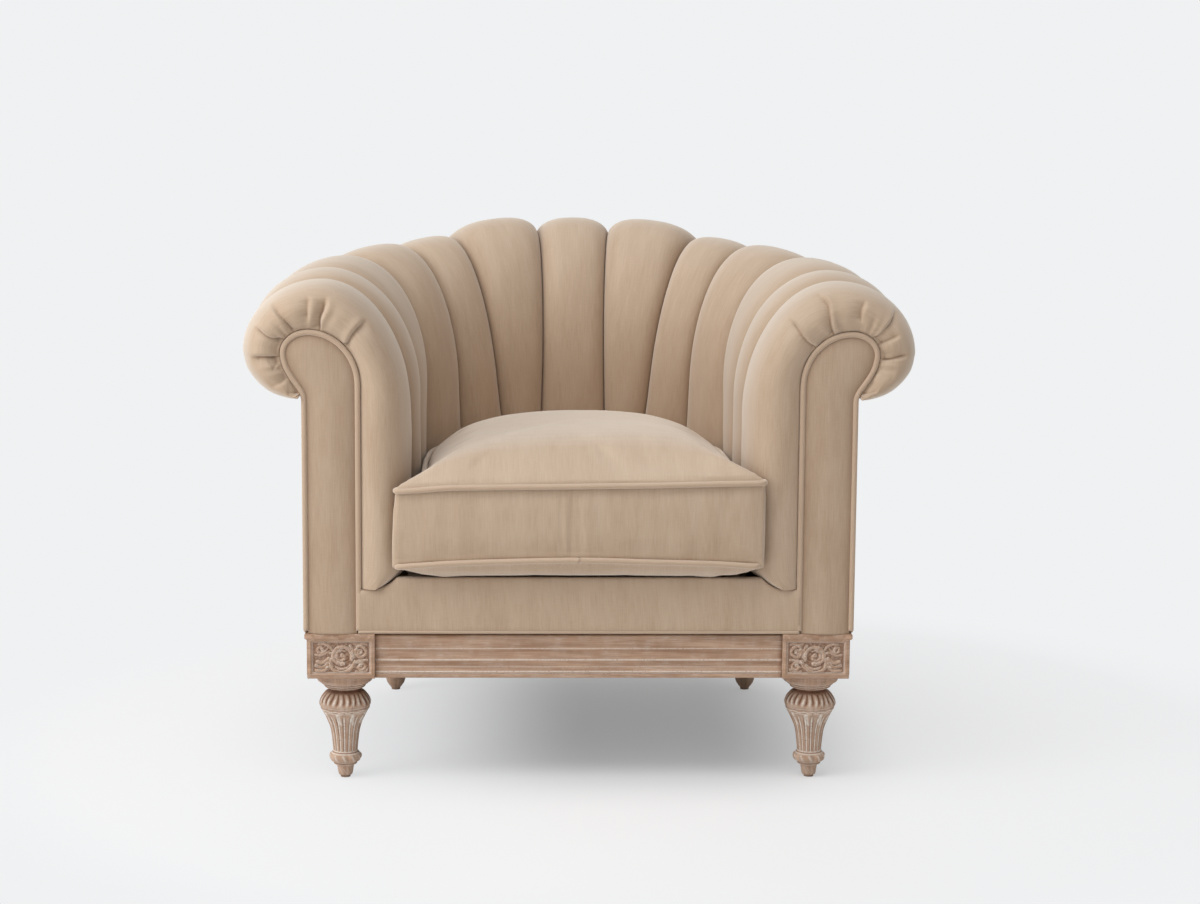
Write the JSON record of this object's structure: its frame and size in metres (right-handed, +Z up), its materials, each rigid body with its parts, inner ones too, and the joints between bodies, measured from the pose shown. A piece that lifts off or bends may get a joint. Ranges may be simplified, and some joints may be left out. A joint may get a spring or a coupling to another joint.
{
  "type": "scallop back armchair",
  "caption": "Upholstered tub armchair with fanned padded channels over rolled arms and back, a loose seat cushion, a moulded wood base and turned legs.",
  "frame": {"origin": "on the floor, under the middle of the chair's box", "axes": "+X to the sitter's left as seen from the front on the right, +Y from the front to the back, +Z up"},
  "size_m": [1.084, 0.9014, 0.8828],
  "materials": {
    "velvet": "brushed cotton velvet, beige",
    "velvet_piping": "the same velvet over cord",
    "deck_cloth": "plain woven platform cloth",
    "bottom_cloth": "black non-woven dust cloth",
    "limed_oak": "weathered, limed, matt",
    "frame_pine": "planed, unfinished",
    "spring_steel": "oiled wire and zinc",
    "glide": "dark nylon"
  },
  "bodies": {
    "chair_frame": {"channel_right_1": "velvet", "channel_right_2": "velvet", "channel_right_3": "velvet", "channel_right_4": "velvet", "channel_right_5": "velvet", "channel_right_6": "velvet", "channel_centre": "velvet", "channel_left_6": "velvet", "channel_left_5": "velvet", "channel_left_4": "velvet", "channel_left_3": "velvet", "channel_left_2": "velvet", "channel_left_1": "velvet", "arm_facing_right": "velvet", "arm_facing_left": "velvet", "facing_piping_right": "velvet_piping", "facing_piping_left": "velvet_piping", "outer_arm_cover_right": "velvet", "outer_arm_cover_left": "velvet", "outer_back_cover": "velvet", "front_border": "velvet", "deck_pad": "deck_cloth", "bottom_cloth": "bottom_cloth", "front_base_rail": "limed_oak", "side_base_rail_right": "limed_oak", "side_base_rail_left": "limed_oak", "back_base_rail": "limed_oak", "front_corner_block_right": "limed_oak", "front_corner_block_left": "limed_oak", "front_leg_right": "limed_oak", "front_leg_left": "limed_oak", "back_leg_right": "limed_oak", "back_leg_left": "limed_oak", "back_corner_block_right": "frame_pine", "back_corner_block_left": "frame_pine", "seat_rail_front": "frame_pine", "seat_rail_back": "frame_pine", "seat_rail_right": "frame_pine", "seat_rail_left": "frame_pine", "arm_post_right": "frame_pine", "arm_post_left": "frame_pine", "back_post_right": "frame_pine", "back_post_left": "frame_pine", "arm_top_rail_right": "frame_pine", "arm_top_rail_left": "frame_pine", "back_top_rail": "frame_pine", "seat_spring_1": "spring_steel", "seat_spring_2": "spring_steel", "seat_spring_3": "spring_steel", "front_leg_right_bolt": "spring_steel", "front_leg_left_bolt": "spring_steel", "back_leg_right_bolt": "spring_steel", "back_leg_left_bolt": "spring_steel", "front_leg_right_glide": "glide", "front_leg_left_glide": "glide", "back_leg_right_glide": "glide", "back_leg_left_glide": "glide"},
    "cushion": {"seat_cushion": "velvet", "cushion_piping_top": "velvet_piping", "cushion_piping_bottom": "velvet_piping"}
  },
  "joints": [
    {"name": "cushion_lift", "type": "slide", "parent": "chair_frame", "child": "cushion", "axis": [0, 0, 1], "range_m": [0, 0.6]}
  ]
}
